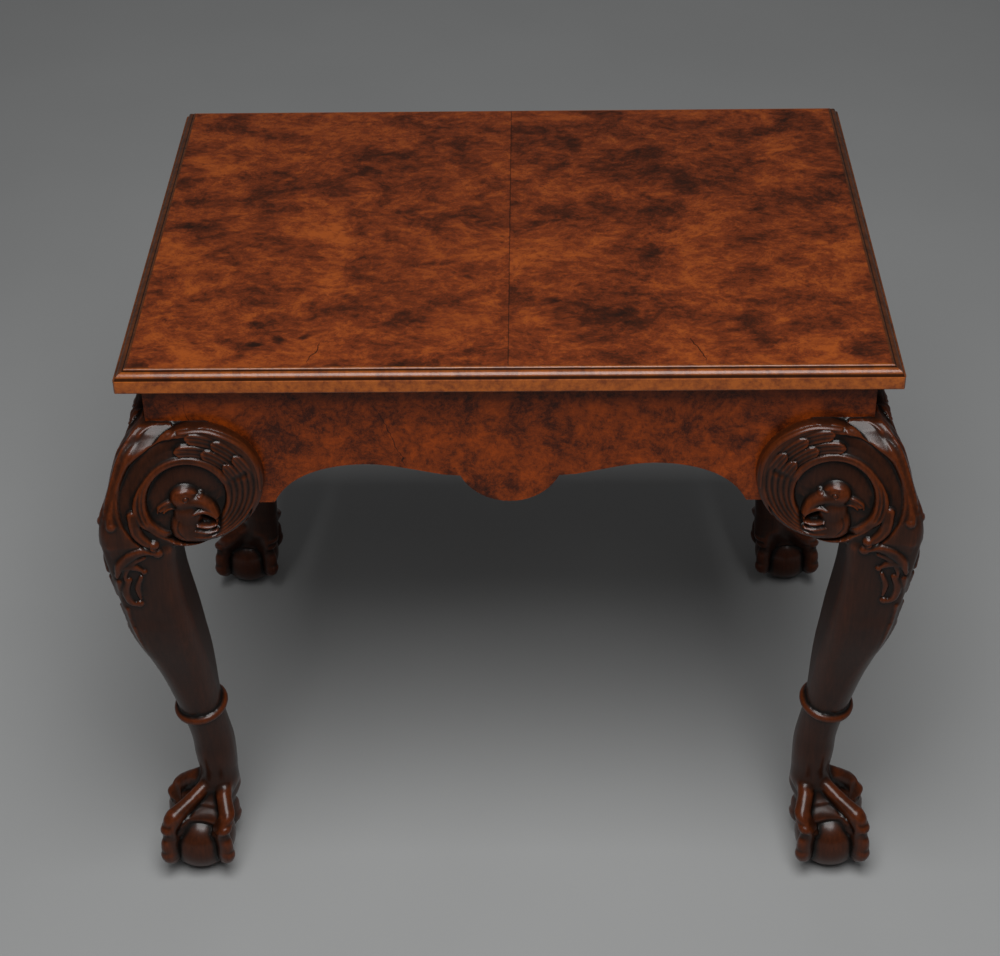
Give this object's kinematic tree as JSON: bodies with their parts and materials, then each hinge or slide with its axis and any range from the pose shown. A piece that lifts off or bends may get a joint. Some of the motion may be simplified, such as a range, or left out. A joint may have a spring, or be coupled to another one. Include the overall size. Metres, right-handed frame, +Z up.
{
  "type": "occasional table",
  "caption": "Rectangular burr walnut occasional table with a moulded flat top, a shaped frieze and carved cabriole legs with bird's-head scroll knees and ball-and-claw feet.",
  "frame": {"origin": "on the floor under the middle of the top", "axes": "+Z up, +X along the long side to the right, -Y towards the front, as seen in the picture"},
  "size_m": [0.6588, 0.5058, 0.54],
  "materials": {
    "top_burr": "burr walnut veneer, book-matched, french polished",
    "moulding_walnut": "cross-grain walnut moulding, polished",
    "frieze_burr": "burr walnut veneer, polished",
    "carved_walnut": "carved solid walnut, dark, wax polished",
    "carcase_oak": "plain sawn secondary timber, unpolished",
    "screw_steel": "dulled steel"
  },
  "bodies": {
    "root": {"top_core": "carcase_oak", "top_veneer_left": "top_burr", "top_veneer_right": "top_burr", "moulding_front": "moulding_walnut", "rail_front": "carcase_oak", "frieze_veneer_front": "frieze_burr", "moulding_right": "moulding_walnut", "rail_right": "carcase_oak", "frieze_veneer_right": "frieze_burr", "moulding_back": "moulding_walnut", "rail_back": "carcase_oak", "frieze_veneer_back": "frieze_burr", "moulding_left": "moulding_walnut", "rail_left": "carcase_oak", "frieze_veneer_left": "frieze_burr", "leg_front_left": "carved_walnut", "ear_front_left_on_front": "carved_walnut", "ear_front_left_on_left": "carved_walnut", "corner_block_front_left": "carcase_oak", "leg_front_right": "carved_walnut", "ear_front_right_on_front": "carved_walnut", "ear_front_right_on_right": "carved_walnut", "corner_block_front_right": "carcase_oak", "leg_back_left": "carved_walnut", "ear_back_left_on_back": "carved_walnut", "ear_back_left_on_left": "carved_walnut", "corner_block_back_left": "carcase_oak", "leg_back_right": "carved_walnut", "ear_back_right_on_back": "carved_walnut", "ear_back_right_on_right": "carved_walnut", "corner_block_back_right": "carcase_oak", "top_screws": "screw_steel"}
  },
  "joints": []
}
